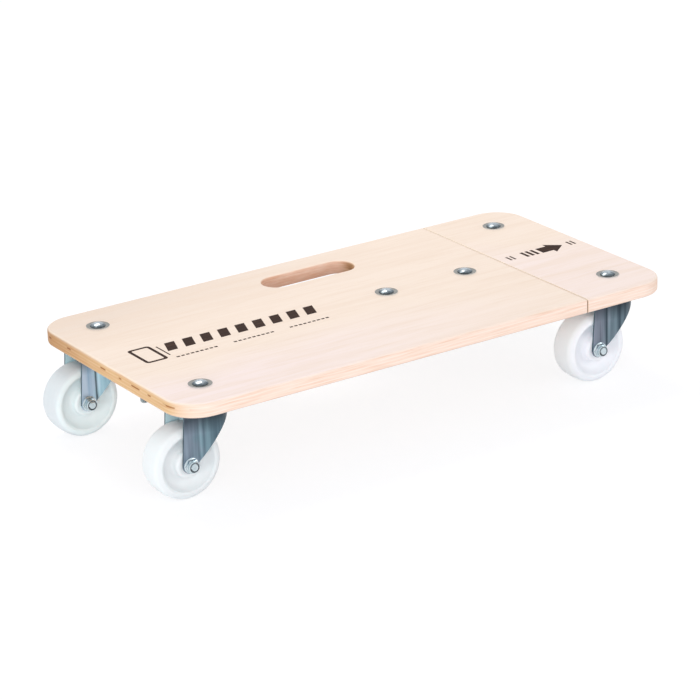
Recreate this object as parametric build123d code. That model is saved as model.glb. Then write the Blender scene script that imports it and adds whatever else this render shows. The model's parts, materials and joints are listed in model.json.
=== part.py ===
# Extendable furniture dolly: a plywood deck in two sections on four swivel casters.
# The end section pulls out on a slotted tongue that slides under the deck along two guide bolts.
# Millimetres, +Z up, +X towards the end section. The origin is on the floor, under the middle of the
# closed dolly with its wheels trailing towards -X.
import os
from math import sqrt

from build123d import *

# Deck boards
DECK_LENGTH = 590.0
DECK_WIDTH = 295.0
BOARD = 15.0
CORNER_R = 35.0
EDGE_R = 2.5
END_LENGTH = 110.0
SEAM_GAP = 1.0
SEAM_EASE = 0.6

# Hand hole, its middle measured from the deck's middle and from the back edge
HAND_HOLE_LENGTH = 110.0
HAND_HOLE_WIDTH = 34.0
HAND_HOLE_X = 5.0
HAND_HOLE_INSET = 48.0

# Slide: guide bolts measured from the seam, tongue from the end board's outer end
PULL_OUT_LENGTH = 270.0
GUIDE_INSET = 48.0
GUIDE_PITCH = 100.0
TONGUE_WIDTH = 90.0
TONGUE_THICK = 15.0
TONGUE_CORNER_R = 12.0
TONGUE_SETBACK = 12.0
TONGUE_MARGIN = 4.0
SLOT_PLAY = 0.5
STOP_GAP = 0.5
SLIDE_GAP = 0.3

# Bolts, washers and nuts, all of one thread size
BOLT_D = 8.0
HEAD_D = 16.0
HEAD_RISE = 3.2
HEAD_RIM = 0.6
NECK_SIZE = 8.4
NECK_DEPTH = 5.0
STOP_HEAD_D = 16.0
SOCKET_AF = 5.0
SOCKET_DEPTH = 1.8
HEX_AF = 13.0
HEX_CHAMFER = 0.8
HEX_HEAD_RISE = 5.3
WASHER_D = 24.0
STOP_WASHER_D = 18.0
WASHER_THICK = 1.0
NUT_HEIGHT = 8.0
NUT_COLLAR_D = 11.6
NUT_COLLAR = 2.2
BOLT_CHAMFER = 0.8
THREAD_FIT = 0.05
WASHER_FIT = 0.2
SEAT_FIT = 0.15
BOARD_HOLE_FIT = 0.5

# How far each bolt stands out of its nut
CASTER_BOLT_PROUD = 3.2
GUIDE_BOLT_PROUD = 4.3
STOP_BOLT_PROUD = 9.8
AXLE_BOLT_PROUD = 1.0

# Wood screws that hold the tongue to the end board
SCREW_D = 5.0
SCREW_HEAD_D = 10.0
SCREW_BITE = 10.0
SCREW_TIP = 5.0
SCREW_ROWS_X = 56.0
SCREW_ROWS_Y = 56.0
SCREW_CROSS_WIDTH = 1.0
SCREW_CROSS_DEPTH = 1.6

# Caster place and wheel
CASTER_INSET = 47.0
CASTER_TRAIL = 25.5
WHEEL_D = 75.0
WHEEL_WIDTH = 32.0
SHOULDER_R = 6.5
TREAD_CROWN = 0.5
LIP = 2.0
DISH_DEPTH = 8.0
DISH_ROOT_R = 3.0
HUB_R = 14.5
HUB_EDGE_R = 3.0
HUB_PROUD = 0.25
HUB_PLAY = 0.25
SLEEVE_D = 12.0
RUNNING_FIT = 0.05
BOLT_TO_WHEEL = 2.48

# Fork, pressed from sheet: a round cup over the swivel and two flat legs beside the wheel
SHEET = 2.0
CUP_FLARE = 6.0
CUP_SKIRT = 4.2
CREASE_R = 2.0
BEND_R = 4.0
EYE_R = 8.5
LEG_BACK = 4.5
LEG_SAG = 2.8
AXLE_NUT_HEIGHT = 7.0
AXLE_FLANGE_D = 16.0
AXLE_FLANGE = 1.6

# Swivel head: two rows of balls between the fixed races and the fork
KING_D = 12.0
KING_FLANGE_R = 8.5
KING_FLANGE = 1.2
BALL_D = 4.5
BALL_COUNT = 8
BALL_FIT = 0.05
TRACK = 0.9
TRACK_LAND = 1.25
ROW_STEP = 3.0
RACE_PLATE = 2.0
RACE_GAP = 0.5
UPPER_RIM_GAP = 1.75
LOWER_RIM_GAP = 0.25
FORK_HOLE_GAP = 2.5

# Swivel head radii
FORK_HOLE_R = KING_D / 2 + FORK_HOLE_GAP
LOWER_ROW_R = FORK_HOLE_R + TRACK_LAND + BALL_D / 2
UPPER_ROW_R = LOWER_ROW_R + ROW_STEP
TOP_RACE_R = UPPER_ROW_R + BALL_D / 2 + UPPER_RIM_GAP + RACE_PLATE
LOWER_RACE_R = LOWER_ROW_R + BALL_D / 2 + LOWER_RIM_GAP + RACE_PLATE

# Swivel head levels, measured from the deck's underside
ROW_HEIGHT = BALL_D - 2 * TRACK
FORK_TOP = -(RACE_PLATE + ROW_HEIGHT)
ROOF_BOTTOM = FORK_TOP - SHEET
LOWER_RACE_TOP = ROOF_BOTTOM - ROW_HEIGHT
LOWER_RACE_BOTTOM = LOWER_RACE_TOP - RACE_PLATE
NUT_SEAT = LOWER_RACE_BOTTOM - KING_FLANGE
CASTER_BOLT_END = NUT_SEAT - NUT_HEIGHT - CASTER_BOLT_PROUD
UPPER_ROW = -(RACE_PLATE + ROW_HEIGHT / 2)
LOWER_ROW = ROOF_BOTTOM - ROW_HEIGHT / 2

# Heights: the wheel clears the mounting bolt's end
WHEEL_R = WHEEL_D / 2
AXLE_DROP = BOLT_TO_WHEEL - CASTER_BOLT_END + sqrt(WHEEL_R**2 - (CASTER_TRAIL - BOLT_D / 2) ** 2)
UNDERSIDE = WHEEL_R + AXLE_DROP
DECK_TOP = UNDERSIDE + BOARD

# Fork and hub widths
HUB_HALF = WHEEL_WIDTH / 2 + HUB_PROUD
LEG_IN = HUB_HALF + HUB_PLAY
LEG_OUT = LEG_IN + SHEET
CUP_R = LEG_OUT + CUP_FLARE

# Plan
OVERHANG = CASTER_TRAIL + WHEEL_R - CASTER_INSET
DECK_MID = max(OVERHANG, 0.0) / 2
DECK_LEFT = DECK_MID - DECK_LENGTH / 2
DECK_RIGHT = DECK_MID + DECK_LENGTH / 2
SEAM_X = DECK_RIGHT - END_LENGTH
CASTER_Y = DECK_WIDTH / 2 - CASTER_INSET
LEFT_CASTER_X = DECK_LEFT + CASTER_INSET
RIGHT_CASTER_X = DECK_RIGHT - CASTER_INSET
DECK_CASTERS = {"front_left": (LEFT_CASTER_X, -CASTER_Y), "back_left": (LEFT_CASTER_X, CASTER_Y)}
END_CASTERS = {"front_right": (RIGHT_CASTER_X, -CASTER_Y), "back_right": (RIGHT_CASTER_X, CASTER_Y)}
LAST_GUIDE_X = SEAM_X - GUIDE_INSET
FIRST_GUIDE_X = LAST_GUIDE_X - GUIDE_PITCH
GUIDES = [(FIRST_GUIDE_X, 0.0), (LAST_GUIDE_X, 0.0)]

# Slide levels and ends: fully pulled out, the stop's washer meets the first guide's washer
TONGUE_BOTTOM = UNDERSIDE - TONGUE_THICK
GUIDE_WASHER_SEAT = TONGUE_BOTTOM - SLIDE_GAP - WASHER_THICK
STOP_WASHER_SEAT = TONGUE_BOTTOM - WASHER_THICK
STOP_X = FIRST_GUIDE_X - PULL_OUT_LENGTH - (WASHER_D + STOP_WASHER_D) / 2 - STOP_GAP
TONGUE_LEFT = STOP_X - STOP_WASHER_D / 2 - TONGUE_MARGIN
TONGUE_RIGHT = DECK_RIGHT - TONGUE_SETBACK
SLOT_R = BOLT_D / 2 + SLOT_PLAY
SCREW_MID_X = (SEAM_X + SEAM_GAP + TONGUE_RIGHT) / 2
SCREW_LENGTH = TONGUE_THICK + SCREW_BITE
SCREWS = [
    (SCREW_MID_X + side_x * SCREW_ROWS_X / 2, side_y * SCREW_ROWS_Y / 2)
    for side_x in (-1, 1)
    for side_y in (-1, 1)
]

# Bolt lengths under the head
CASTER_BOLT = WASHER_THICK + BOARD - CASTER_BOLT_END
GUIDE_BOLT = DECK_TOP + WASHER_THICK - GUIDE_WASHER_SEAT + NUT_HEIGHT + GUIDE_BOLT_PROUD
STOP_BOLT = UNDERSIDE - STOP_WASHER_SEAT + NUT_HEIGHT + STOP_BOLT_PROUD
AXLE_BOLT = 2 * LEG_OUT + AXLE_NUT_HEIGHT + AXLE_BOLT_PROUD


def rod(radius, low, high):
    return Pos(0, 0, (low + high) / 2) * Cylinder(radius, high - low)


def ring(inner_r, outer_r, low, high):
    return rod(outer_r, low, high) - rod(inner_r, low, high)


def turned(*edges):
    return revolve(make_face([Plane.XZ * edge for edge in edges]), Axis.Z)


def turned_outline(*points):
    return revolve(make_face(Plane.XZ * Polyline(*points, close=True)), Axis.Z)


def square_bar(size, low, high):
    return Pos(0, 0, (low + high) / 2) * Box(size, size, high - low)


def hexagon(across_flats, low, high):
    face = RegularPolygon(across_flats / 2, 6, major_radius=False)
    return Pos(0, 0, low) * extrude(face, high - low)


def upside_down(shape):
    return Rot(180, 0, 0) * shape


def copies(shape, points, z):
    return Compound(children=[Pos(x, y, z) * shape for x, y in points])


# Deck boards

def board_blank():
    plan = RectangleRounded(DECK_LENGTH, DECK_WIDTH, CORNER_R)
    blank = Pos(DECK_MID, 0, UNDERSIDE) * extrude(plan, BOARD)
    rims = blank.edges().group_by(Axis.Z)
    return fillet(rims[0] + rims[-1], EDGE_R)


def board_section(low_x, high_x):
    middle = Pos((low_x + high_x) / 2, 0, (UNDERSIDE + DECK_TOP) / 2)
    return board_blank() & middle * Box(high_x - low_x, DECK_WIDTH, BOARD)


def ease_seam(board, seam_x):
    bevel = SEAM_EASE * sqrt(2)
    along_y = Rot(0, 45, 0) * Box(bevel, DECK_WIDTH, bevel)
    along_z = Rot(0, 0, 45) * Box(bevel, bevel, BOARD)
    board -= [Pos(seam_x, 0, z) * along_y for z in (UNDERSIDE, DECK_TOP)]
    ends_y = (-DECK_WIDTH / 2, DECK_WIDTH / 2)
    return board - [Pos(seam_x, y, UNDERSIDE + BOARD / 2) * along_z for y in ends_y]


def bolt_holes(points):
    neck_end = DECK_TOP + WASHER_THICK - NECK_DEPTH
    hole = rod(BOLT_D / 2 + BOARD_HOLE_FIT, UNDERSIDE, DECK_TOP)
    hole += square_bar(NECK_SIZE + 2 * SEAT_FIT, neck_end - SEAT_FIT, DECK_TOP)
    return [Pos(x, y, 0) * hole for x, y in points]


def cut_hand_hole(board):
    hole_x = DECK_MID + HAND_HOLE_X
    hole_y = DECK_WIDTH / 2 - HAND_HOLE_INSET
    plan = Pos(hole_x, hole_y, UNDERSIDE) * SlotOverall(HAND_HOLE_LENGTH, HAND_HOLE_WIDTH)
    board -= extrude(plan, BOARD)
    reach_x = HAND_HOLE_LENGTH / 2 + EDGE_R
    reach_y = HAND_HOLE_WIDTH / 2 + EDGE_R
    walls = board.edges().filter_by_position(Axis.X, hole_x - reach_x, hole_x + reach_x)
    walls = walls.filter_by_position(Axis.Y, hole_y - reach_y, hole_y + reach_y)
    rims = walls.group_by(Axis.Z)
    return fillet(rims[0] + rims[-1], EDGE_R)


def main_deck():
    board = cut_hand_hole(board_section(DECK_LEFT, SEAM_X)) - bolt_holes([*DECK_CASTERS.values(), *GUIDES])
    return ease_seam(board, SEAM_X)


def end_board():
    board = board_section(SEAM_X + SEAM_GAP, DECK_RIGHT) - bolt_holes(END_CASTERS.values())
    pilot = rod(SCREW_D / 2 + THREAD_FIT, UNDERSIDE, UNDERSIDE + SCREW_BITE)
    board -= [Pos(x, y, 0) * pilot for x, y in SCREWS]
    return ease_seam(board, SEAM_X + SEAM_GAP)


# Slide

def countersunk(shank_d, head_d, length, tip=0.0):
    shank_r = shank_d / 2
    head_r = head_d / 2
    cone = head_r - shank_r
    return turned_outline((0, 0), (head_r, 0), (shank_r, cone), (shank_r, length - tip), (0, length))


def slide_tongue():
    plan = RectangleRounded(TONGUE_RIGHT - TONGUE_LEFT, TONGUE_WIDTH, TONGUE_CORNER_R)
    tongue = Pos((TONGUE_LEFT + TONGUE_RIGHT) / 2, 0, TONGUE_BOTTOM) * extrude(plan, TONGUE_THICK)
    slot_low = FIRST_GUIDE_X - PULL_OUT_LENGTH - SLOT_R
    slot_high = LAST_GUIDE_X + SLOT_R
    slot = extrude(SlotOverall(slot_high - slot_low, 2 * SLOT_R), TONGUE_THICK)
    tongue -= Pos((slot_low + slot_high) / 2, 0, TONGUE_BOTTOM) * slot
    fit = 2 * SEAT_FIT
    screw_seat = countersunk(SCREW_D + fit, SCREW_HEAD_D + fit, TONGUE_THICK)
    stop_seat = upside_down(countersunk(BOLT_D + fit, STOP_HEAD_D + fit, TONGUE_THICK))
    tongue -= [Pos(x, y, TONGUE_BOTTOM) * screw_seat for x, y in SCREWS]
    return tongue - Pos(STOP_X, 0, UNDERSIDE) * stop_seat


def tongue_screw():
    screw = countersunk(SCREW_D, SCREW_HEAD_D, SCREW_LENGTH, SCREW_TIP)
    cut = Pos(0, 0, SCREW_CROSS_DEPTH / 2) * Box(SCREW_D, SCREW_CROSS_WIDTH, SCREW_CROSS_DEPTH)
    return screw - cut - Rot(0, 0, 90) * cut


def stop_bolt():
    bolt = countersunk(BOLT_D, STOP_HEAD_D, STOP_BOLT)
    bolt = chamfer(bolt.edges().group_by(Axis.Z)[-1], BOLT_CHAMFER)
    return upside_down(bolt - hexagon(SOCKET_AF, 0, SOCKET_DEPTH))


# Bolts, washers and nuts: heads and washers sit on z = 0, nuts hang from it

def shank(length):
    blank = rod(BOLT_D / 2, -length, 0)
    return chamfer(blank.edges().group_by(Axis.Z)[0], BOLT_CHAMFER)


def dome_bolt(length):
    rim = (HEAD_D / 2, HEAD_RIM)
    apex = (0, HEAD_RISE)
    head = turned(
        Polyline(apex, (0, 0), (HEAD_D / 2, 0), rim),
        TangentArc(apex, rim, tangent=(1, 0)),
    )
    return head + square_bar(NECK_SIZE, -NECK_DEPTH, 0) + shank(length)


def chamfered_hexagon(height):
    blank = rod(HEX_AF / sqrt(3), 0, height)
    rim = blank.edges().group_by(Axis.Z)[-1]
    return hexagon(HEX_AF, 0, height) & chamfer(rim, HEX_CHAMFER / 2, HEX_CHAMFER)


def hex_bolt(length):
    return chamfered_hexagon(HEX_HEAD_RISE) + shank(length)


def washer(outer_d):
    return ring(BOLT_D / 2 + WASHER_FIT, outer_d / 2, 0, WASHER_THICK)


def neck_washer():
    return rod(WASHER_D / 2, 0, WASHER_THICK) - square_bar(NECK_SIZE + 2 * WASHER_FIT, 0, WASHER_THICK)


def lock_nut(height):
    collar = rod(NUT_COLLAR_D / 2, 0, height)
    collar = chamfer(collar.edges().group_by(Axis.Z)[-1], HEX_CHAMFER)
    nut = chamfered_hexagon(height - NUT_COLLAR) + collar
    return upside_down(nut - rod(BOLT_D / 2 + THREAD_FIT, 0, height))


def flange_nut(height):
    outer = AXLE_FLANGE_D / 2
    inner = BOLT_D / 2 + THREAD_FIT
    flange = turned_outline(
        (inner, 0), (outer, 0), (outer, -AXLE_FLANGE / 2), (HEX_AF / 2, -AXLE_FLANGE), (inner, -AXLE_FLANGE)
    )
    return lock_nut(height) + flange


# Swivel head, with z = 0 at the deck's underside

def track(row_r, level):
    groove = Plane.XZ * Pos(row_r, level) * Circle(BALL_D / 2 + BALL_FIT)
    return revolve(groove, Axis.Z)


def race(outer_r, back, face, rim):
    bore = KING_D / 2 + THREAD_FIT
    inner = outer_r - RACE_PLATE
    return turned_outline(
        (bore, back), (outer_r, back), (outer_r, rim), (inner, rim), (inner, face), (bore, face)
    )


def top_race():
    plate = race(TOP_RACE_R, 0, -RACE_PLATE, FORK_TOP + RACE_GAP)
    return plate - track(UPPER_ROW_R, UPPER_ROW)


def lower_race():
    plate = race(LOWER_RACE_R, LOWER_RACE_BOTTOM, LOWER_RACE_TOP, ROOF_BOTTOM - RACE_GAP)
    return plate - track(LOWER_ROW_R, LOWER_ROW)


def king_sleeve():
    sleeve = rod(KING_D / 2, NUT_SEAT, 0) + rod(KING_FLANGE_R, NUT_SEAT, LOWER_RACE_BOTTOM)
    return sleeve - rod(BOLT_D / 2 + WASHER_FIT, NUT_SEAT, 0)


def ball_rows(points, row_r, level):
    row = [place.position for place in PolarLocations(row_r, BALL_COUNT)]
    spots = [(x + place.X, y + place.Y) for x, y in points for place in row]
    return copies(Sphere(BALL_D / 2), spots, UNDERSIDE + level)


# Fork, wheel and axle, with the swivel axis at x = y = 0 and z = 0 at the deck's underside

def on_axle(shape):
    return Pos(-CASTER_TRAIL, 0, -AXLE_DROP) * Rot(90, 0, 0) * shape


def fork_block(cup_r, half_width, crease_r, bend_r, top):
    length = CASTER_TRAIL + 2 * EYE_R
    height = AXLE_DROP + 2 * EYE_R
    plan = Circle(cup_r) + Pos(-length / 2, 0) * Rectangle(length, 2 * half_width)
    creases = plan.vertices().filter_by_position(Axis.X, -cup_r, 0)
    plan = fillet(creases, crease_r)
    block = Pos(0, 0, top) * extrude(plan, -height)
    return fillet(block.faces().sort_by(Axis.Z)[-1].edges(), bend_r)


def fork_side():
    past_front = CUP_R + SHEET
    past_top = FORK_TOP + SHEET
    back_top = (-CASTER_TRAIL - LEG_BACK, past_top)
    eye_back = (-CASTER_TRAIL - EYE_R, -AXLE_DROP)
    eye_low = (-CASTER_TRAIL, -AXLE_DROP - EYE_R)
    eye_front = (-CASTER_TRAIL + EYE_R, -AXLE_DROP)
    skirt = (past_front, FORK_TOP - CUP_SKIRT)
    outline = [
        Line(back_top, eye_back),
        ThreePointArc(eye_back, eye_low, eye_front),
        SagittaArc(eye_front, skirt, LEG_SAG),
        Polyline(skirt, (past_front, past_top), back_top),
    ]
    return extrude(make_face([Plane.XZ * edge for edge in outline]), past_front, both=True)


def fork():
    outer = fork_block(CUP_R, LEG_OUT, CREASE_R, BEND_R, FORK_TOP)
    inner = fork_block(CUP_R - SHEET, LEG_IN, CREASE_R + SHEET, BEND_R - SHEET, ROOF_BOTTOM)
    pressing = (outer - inner) & fork_side()
    pressing -= rod(FORK_HOLE_R, ROOF_BOTTOM, FORK_TOP)
    pressing -= [track(UPPER_ROW_R, UPPER_ROW), track(LOWER_ROW_R, LOWER_ROW)]
    return pressing - on_axle(rod(BOLT_D / 2 + THREAD_FIT, -LEG_OUT, LEG_OUT))


def wheel():
    bore = SLEEVE_D / 2 + RUNNING_FIT
    side = WHEEL_WIDTH / 2
    tread_edge = (WHEEL_R - TREAD_CROWN, side - SHOULDER_R)
    lip_out = (tread_edge[0] - SHOULDER_R, side)
    lip_in = (lip_out[0] - LIP, side - LIP / 2)
    dish_floor = (HUB_R + DISH_ROOT_R, side - DISH_DEPTH)
    hub_root = (HUB_R, dish_floor[1] + DISH_ROOT_R)
    hub_edge = (HUB_R, HUB_HALF - HUB_EDGE_R)
    hub_face = (HUB_R - HUB_EDGE_R, HUB_HALF)
    tread = TangentArc((WHEEL_R, 0), tread_edge, tangent=(0, 1))
    half = turned(
        tread,
        TangentArc(tread_edge, lip_out, tangent=tread % 1),
        Line(lip_out, lip_in),
        TangentArc(dish_floor, lip_in, tangent=(1, 0)),
        TangentArc(dish_floor, hub_root, tangent=(-1, 0)),
        Line(hub_root, hub_edge),
        TangentArc(hub_edge, hub_face, tangent=(0, 1)),
        Polyline(hub_face, (bore, HUB_HALF), (bore, 0), (WHEEL_R, 0)),
    )
    return on_axle(half + mirror(half, Plane.XY))


def caster_pieces():
    return {
        "fork": fork(),
        "wheel": wheel(),
        "axle_sleeve": on_axle(ring(BOLT_D / 2 + THREAD_FIT, SLEEVE_D / 2, -LEG_IN, LEG_IN)),
        "axle_bolt": on_axle(Pos(0, 0, -LEG_OUT) * upside_down(hex_bolt(AXLE_BOLT))),
        "axle_nut": on_axle(Pos(0, 0, LEG_OUT) * upside_down(flange_nut(AXLE_NUT_HEIGHT))),
    }


# Assembly: one entry for each node

def caster_fixings(prefix, points):
    pieces = {
        "caster_bolts": (dome_bolt(CASTER_BOLT), DECK_TOP + WASHER_THICK),
        "caster_washers": (neck_washer(), DECK_TOP),
        "caster_nuts": (lock_nut(NUT_HEIGHT), UNDERSIDE + NUT_SEAT),
        "top_races": (top_race(), UNDERSIDE),
        "lower_races": (lower_race(), UNDERSIDE),
        "king_sleeves": (king_sleeve(), UNDERSIDE),
    }
    nodes = {f"{prefix}_{piece}": copies(shape, points, z) for piece, (shape, z) in pieces.items()}
    nodes[f"{prefix}_upper_balls"] = ball_rows(points, UPPER_ROW_R, UPPER_ROW)
    nodes[f"{prefix}_lower_balls"] = ball_rows(points, LOWER_ROW_R, LOWER_ROW)
    return nodes


def slide_fixings():
    stop = [(STOP_X, 0.0)]
    return {
        "guide_bolts": copies(dome_bolt(GUIDE_BOLT), GUIDES, DECK_TOP + WASHER_THICK),
        "guide_top_washers": copies(neck_washer(), GUIDES, DECK_TOP),
        "guide_lower_washers": copies(washer(WASHER_D), GUIDES, GUIDE_WASHER_SEAT),
        "guide_nuts": copies(lock_nut(NUT_HEIGHT), GUIDES, GUIDE_WASHER_SEAT),
        "tongue_screws": copies(tongue_screw(), SCREWS, TONGUE_BOTTOM),
        "stop_bolt": copies(stop_bolt(), stop, UNDERSIDE),
        "stop_washer": copies(washer(STOP_WASHER_D), stop, STOP_WASHER_SEAT),
        "stop_nut": copies(lock_nut(NUT_HEIGHT), stop, STOP_WASHER_SEAT),
    }


def casters():
    pieces = caster_pieces()
    return {
        f"{name}_{piece}": copies(shape, [point], UNDERSIDE)
        for name, point in {**DECK_CASTERS, **END_CASTERS}.items()
        for piece, shape in pieces.items()
    }


def assembly():
    return {
        "main_deck": main_deck(),
        "end_board": end_board(),
        "slide_tongue": slide_tongue(),
        **slide_fixings(),
        **caster_fixings("deck", DECK_CASTERS.values()),
        **caster_fixings("end", END_CASTERS.values()),
        **casters(),
    }


os.makedirs("parts", exist_ok=True)
for node, shape in assembly().items():
    export_step(shape, f"parts/{node}.step")
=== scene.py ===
import json
import math
from types import SimpleNamespace

import bpy
from mathutils import Euler, Matrix, Vector


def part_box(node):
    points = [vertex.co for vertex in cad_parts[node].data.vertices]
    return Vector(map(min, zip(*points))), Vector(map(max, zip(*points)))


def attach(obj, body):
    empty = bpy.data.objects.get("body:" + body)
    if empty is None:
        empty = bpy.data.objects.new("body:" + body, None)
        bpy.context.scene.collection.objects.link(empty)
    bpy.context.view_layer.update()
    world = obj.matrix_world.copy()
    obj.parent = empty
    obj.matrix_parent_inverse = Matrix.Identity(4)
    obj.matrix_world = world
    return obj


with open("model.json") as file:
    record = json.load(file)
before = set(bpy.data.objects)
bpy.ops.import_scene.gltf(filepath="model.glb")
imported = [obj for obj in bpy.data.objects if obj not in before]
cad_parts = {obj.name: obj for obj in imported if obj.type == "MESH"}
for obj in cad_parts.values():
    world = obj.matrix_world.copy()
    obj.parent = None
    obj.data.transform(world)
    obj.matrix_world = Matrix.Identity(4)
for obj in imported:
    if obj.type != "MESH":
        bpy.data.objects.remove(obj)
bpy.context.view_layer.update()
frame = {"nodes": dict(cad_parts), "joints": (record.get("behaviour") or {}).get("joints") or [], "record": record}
scene = bpy.context.scene
scene.view_settings.view_transform = "Standard"
MM = 0.001

# Short names of the nodes that come up most. A Mix node takes its share at 0, numbers at 2 and 3, and
# colours at 6 and 7. A Map Range node takes its value at 0, where that starts and ends at 1 and 2, and what
# start and end become at 3 and 4. COLOUR and STAIN are settings of a Mix node: it lays its second colour over
# the first, or multiplies the two.
MATH = "ShaderNodeMath"
MIX = "ShaderNodeMix"
NOISE = "ShaderNodeTexNoise"
RANGE = "ShaderNodeMapRange"
MAPPING = "ShaderNodeMapping"
SPLIT = "ShaderNodeSeparateXYZ"
JOIN = "ShaderNodeCombineXYZ"
COORDS = "ShaderNodeTexCoord"
SHADER = "ShaderNodeBsdfPrincipled"
OUTPUT = "ShaderNodeOutputMaterial"
COLOUR = {"data_type": "RGBA"}
STAIN = {"data_type": "RGBA", "blend_type": "MULTIPLY"}


def linear(hex_value):
    # Linear colour from an sRGB hex value
    parts = [int(hex_value[i:i + 2], 16) / 255 for i in (1, 3, 5)]
    return tuple(c / 12.92 if c <= 0.04045 else ((c + 0.055) / 1.055) ** 2.4 for c in parts) + (1.0,)


def add(tree, kind, inputs=None, **settings):
    # A node with its settings. An input is a plain value, a socket, or a node whose result is linked.
    node = tree.nodes.new(kind)
    for name, value in settings.items():
        setattr(node, name, value)
    for key, value in (inputs or {}).items():
        if isinstance(value, bpy.types.Node):
            value = next(result for result in value.outputs if result.enabled)
        if isinstance(value, bpy.types.NodeSocket):
            tree.links.new(value, node.inputs[key])
        else:
            node.inputs[key].default_value = value
    return node


def start_material(name):
    material = bpy.data.materials.new(name)
    material.use_nodes = True
    material.node_tree.nodes.clear()
    return material, material.node_tree


def repeats(size):
    # Scale of a pattern from its size in millimetres
    return 1 / (size * MM)


def stretched(*sizes):
    # Scale of a pattern with its own size, in millimetres, in each direction
    return tuple(repeats(size) for size in sizes)


# Places, read from the frame

CASTERS = ("front_left", "back_left", "front_right", "back_right")
JOINT_SPOTS = {joint["name"]: Vector(joint["pos_m"]) for joint in frame["joints"] if "pos_m" in joint}
HOLE_WALLS = 16.0 * MM


def middle(node):
    low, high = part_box(node)
    return (low + high) / 2


def deck_top_middle():
    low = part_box("main_deck")[0]
    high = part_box("end_board")[1]
    return Vector(((low.x + high.x) / 2, (low.y + high.y) / 2, high.z))


def seam_middle():
    return (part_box("main_deck")[1].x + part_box("end_board")[0].x) / 2


def hand_hole():
    # Middle of the hand hole, and how far its walls reach from there
    low, high = (Vector(corner) for corner in frame["record"]["physics"]["openings"][0]["box_m"])
    return (low + high) / 2, (high - low) / 2 + Vector((HOLE_WALLS, HOLE_WALLS, 0.0))


def guide_spots():
    # Middles of the two guide bolts, which stand on the line down the deck's middle
    low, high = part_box("guide_top_washers")
    washer_r = (high.y - low.y) / 2
    return [Vector((low.x + washer_r, 0, 0)), Vector((high.x - washer_r, 0, 0))]


# Camera, at the photograph's place and roll: its place is measured from the middle of the deck's top, its
# angles are in degrees, and its focal length is in pixels of a picture 700 pixels wide

CAMERA_PLACE = Vector((-1.57788, -2.41512, 1.05475))
CAMERA_TILT = 68.9535
CAMERA_ROLL = 1.8441
CAMERA_PAN = -33.6975
FOCAL_PIXELS = 2988.23
PICTURE_PIXELS = 700
SENSOR_WIDTH = 36.0
CLEAR_TO = 50.0


def place_camera():
    turn = Euler([math.radians(angle) for angle in (CAMERA_TILT, CAMERA_ROLL, CAMERA_PAN)])
    lens = bpy.data.cameras.new("camera")
    lens.sensor_width = SENSOR_WIDTH
    lens.lens = FOCAL_PIXELS / PICTURE_PIXELS * SENSOR_WIDTH
    lens.clip_end = CLEAR_TO
    camera = bpy.data.objects.new("camera", lens)
    camera.matrix_world = Matrix.LocRotScale(deck_top_middle() + CAMERA_PLACE, turn, None)
    scene.collection.objects.link(camera)
    scene.camera = camera


# Birch plywood

# Plies in a board, and the one with gaps in it, counted from the lowest as 0
PLIES = 9
GAP_PLY = 5

# The seam's cut ends lie this close to its middle, and their painted shade at the front turns to painted light at
# the back
SEAM_REACH = 2.0 * MM
SEAM_FRONT = -140 * MM
SEAM_BACK = 100 * MM

# Heights above a board's underside at which the painted shade of the lower arris and the painted highlight
# of the upper one start and are full
LOWER_ARRIS_SHADE = (1.6 * MM, 0.2 * MM)
UPPER_ARRIS_HIGHLIGHT = (13.2 * MM, 14.4 * MM)

# How far the plies wave, the pattern moves from ply to ply, and the border of the pink part wanders
WAVE_HEIGHT = 0.5 * MM
PLY_SHIFT = 370 * MM
DRIFT = 100 * MM

# Sizes of the wood's patterns in millimetres: along the grain, across it and from ply to ply on the face,
# lengthwise, crosswise and upwards on the cut edges. The fine lines and streaks are drawn 1.6 mm wide,
# coarser than real ones, so that they show.
WAVE_LENGTH = 71.43
DRIFT_PATCH = 142.9
FIGURE = (142.9, 12.5, 111.1)
FINE_LINES = (35.71, 1.613, 111.1)
EDGE_STREAK = (38.46, 38.46, 1.613)
EDGE_GAP = (22.22, 22.22, 50)
HOLE_SHADE_PATCH = (18.18, 18.18, 3.846)

# Parts of the boards that differ, each growing from none at one place to full at another, in millimetres
# lengthwise and crosswise. The pink parts are the wood's own; the greyed face and the browned edges towards
# the back of the left end are painted shade.
PINK_DECK = ((200, 10), (-180, -50))
PINK_END = ((900, 110), (0, 30))
BACK_LEFT_SHADE = ((120, 40), (-220, 150))
BACK_LEFT_EDGE_SHADE = ((-250, 0), (-280, 140))


def growing(tree, x, y, start, full):
    # Share that grows from one place on the boards to another, lengthwise and crosswise
    lengthwise = add(tree, RANGE, {0: x, 1: start[0] * MM, 2: full[0] * MM})
    crosswise = add(tree, RANGE, {0: y, 1: start[1] * MM, 2: full[1] * MM})
    return add(tree, MATH, {0: crosswise, 1: lengthwise}, operation="MULTIPLY")


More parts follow.
